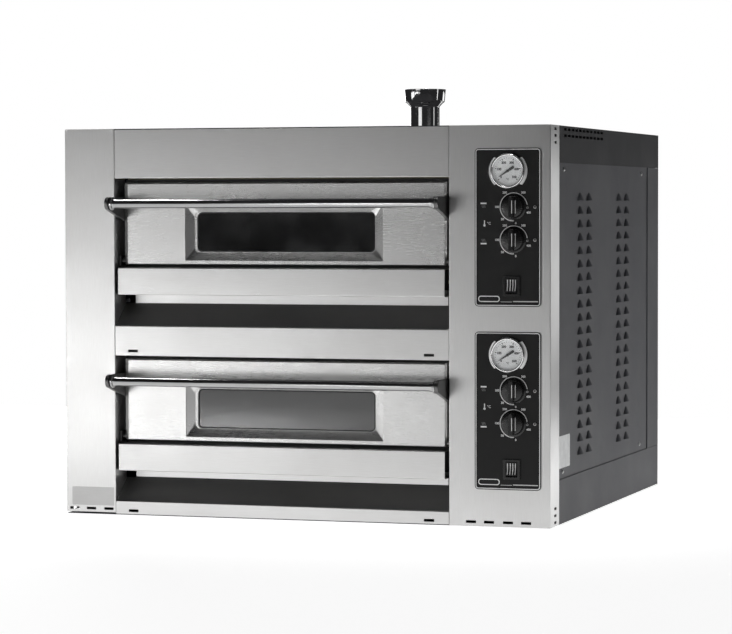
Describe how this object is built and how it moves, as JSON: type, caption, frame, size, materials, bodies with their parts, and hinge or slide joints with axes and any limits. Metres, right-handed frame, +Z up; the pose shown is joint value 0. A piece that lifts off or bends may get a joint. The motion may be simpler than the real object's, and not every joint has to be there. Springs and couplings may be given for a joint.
{
  "type": "countertop pizza oven",
  "caption": "Two-deck electric countertop pizza oven with drop-down glazed doors, thermostat knobs, dial gauges and a rear flue funnel on the lid.",
  "frame": {"origin": "on the worktop, under the middle of the whole oven with its handles", "axes": "+Z up, +X to the right as seen from the front, +Y from the doors to the back"},
  "size_m": [0.9864, 0.9916, 0.851],
  "materials": {
    "stainless": "brushed stainless sheet, soft grain along the sheet",
    "dark_paint": "anthracite powder coat, fine texture, satin",
    "polished_steel": "polished steel",
    "liner_steel": "aluminised steel sheet, dull and heat-marked",
    "glass": "heat-proof tinted pane",
    "refractory": "matt refractory stone",
    "mineral_wool": "compressed mineral wool",
    "heater_sheath": "dark oxidised tube",
    "control_plate": "black printed plate with a light border line",
    "black_plastic": "black moulded plastic",
    "grey_plastic": "grey moulded plastic"
  },
  "bodies": {
    "housing": {"base_tray": "dark_paint", "top_cover": "dark_paint", "left_side_panel": "dark_paint", "right_side_panel": "dark_paint", "rear_cover": "dark_paint", "left_pillar_cover": "stainless", "control_pillar_cover": "stainless", "top_front_panel": "stainless", "middle_front_panel": "stainless", "bottom_front_panel": "stainless", "front_frame": "stainless", "compartment_wall": "liner_steel", "flue": "polished_steel", "vent_duct": "liner_steel", "cable_gland": "black_plastic", "terminal_block": "grey_plastic", "upper_ledge_band": "stainless", "upper_chamber": "liner_steel", "upper_baking_stone": "refractory", "upper_insulation": "mineral_wool", "upper_top_heater": "heater_sheath", "upper_bottom_heater": "heater_sheath", "upper_control_plate": "control_plate", "upper_gauge": "polished_steel", "upper_top_heat_thermostat": "grey_plastic", "upper_bottom_heat_thermostat": "grey_plastic", "upper_switch_body": "black_plastic", "lower_ledge_band": "stainless", "lower_chamber": "liner_steel", "lower_baking_stone": "refractory", "lower_insulation": "mineral_wool", "lower_top_heater": "heater_sheath", "lower_bottom_heater": "heater_sheath", "lower_control_plate": "control_plate", "lower_gauge": "polished_steel", "lower_top_heat_thermostat": "grey_plastic", "lower_bottom_heat_thermostat": "grey_plastic", "lower_switch_body": "black_plastic"},
    "upper_door": {"upper_door_skin": "stainless", "upper_door_glass": "glass", "upper_door_inner_panel": "stainless", "upper_handle_bar": "polished_steel", "upper_handle_bracket_left": "polished_steel", "upper_handle_bracket_right": "polished_steel", "upper_hinge_rod": "polished_steel"},
    "upper_top_heat_knob": {"upper_top_heat_knob": "black_plastic"},
    "upper_bottom_heat_knob": {"upper_bottom_heat_knob": "black_plastic"},
    "upper_gauge_needle": {"upper_gauge_needle": "black_plastic"},
    "upper_switch_rocker": {"upper_switch_rocker": "black_plastic"},
    "lower_door": {"lower_door_skin": "stainless", "lower_door_glass": "glass", "lower_door_inner_panel": "stainless", "lower_handle_bar": "polished_steel", "lower_handle_bracket_left": "polished_steel", "lower_handle_bracket_right": "polished_steel", "lower_hinge_rod": "polished_steel"},
    "lower_top_heat_knob": {"lower_top_heat_knob": "black_plastic"},
    "lower_bottom_heat_knob": {"lower_bottom_heat_knob": "black_plastic"},
    "lower_gauge_needle": {"lower_gauge_needle": "black_plastic"},
    "lower_switch_rocker": {"lower_switch_rocker": "black_plastic"}
  },
  "joints": [
    {"name": "upper_door_hinge", "type": "hinge", "parent": "housing", "child": "upper_door", "pos_m": [-0.045, -0.40425, 0.494], "axis": [1, 0, 0], "range_deg": [0, 90]},
    {"name": "upper_top_heat_knob_turn", "type": "hinge", "parent": "housing", "child": "upper_top_heat_knob", "pos_m": [0.418, -0.43685, 0.5975], "axis": [0, 1, 0], "range_deg": [0, 270]},
    {"name": "upper_bottom_heat_knob_turn", "type": "hinge", "parent": "housing", "child": "upper_bottom_heat_knob", "pos_m": [0.418, -0.43685, 0.5362], "axis": [0, 1, 0], "range_deg": [0, 270]},
    {"name": "upper_gauge_needle_turn", "type": "hinge", "parent": "housing", "child": "upper_gauge_needle", "pos_m": [0.4076, -0.44185, 0.6643], "axis": [0, 1, 0], "range_deg": [0, 246]},
    {"name": "upper_switch_rocker_tip", "type": "hinge", "parent": "housing", "child": "upper_switch_rocker", "pos_m": [0.4143, -0.43325, 0.4507], "axis": [1, 0, 0], "range_deg": [0, 16]},
    {"name": "lower_door_hinge", "type": "hinge", "parent": "housing", "child": "lower_door", "pos_m": [-0.045, -0.40425, 0.152], "axis": [1, 0, 0], "range_deg": [0, 90]},
    {"name": "lower_top_heat_knob_turn", "type": "hinge", "parent": "housing", "child": "lower_top_heat_knob", "pos_m": [0.418, -0.43685, 0.2555], "axis": [0, 1, 0], "range_deg": [0, 270]},
    {"name": "lower_bottom_heat_knob_turn", "type": "hinge", "parent": "housing", "child": "lower_bottom_heat_knob", "pos_m": [0.418, -0.43685, 0.1942], "axis": [0, 1, 0], "range_deg": [0, 270]},
    {"name": "lower_gauge_needle_turn", "type": "hinge", "parent": "housing", "child": "lower_gauge_needle", "pos_m": [0.4076, -0.44185, 0.3223], "axis": [0, 1, 0], "range_deg": [0, 246]},
    {"name": "lower_switch_rocker_tip", "type": "hinge", "parent": "housing", "child": "lower_switch_rocker", "pos_m": [0.4143, -0.43325, 0.1087], "axis": [1, 0, 0], "range_deg": [0, 16]}
  ]
}
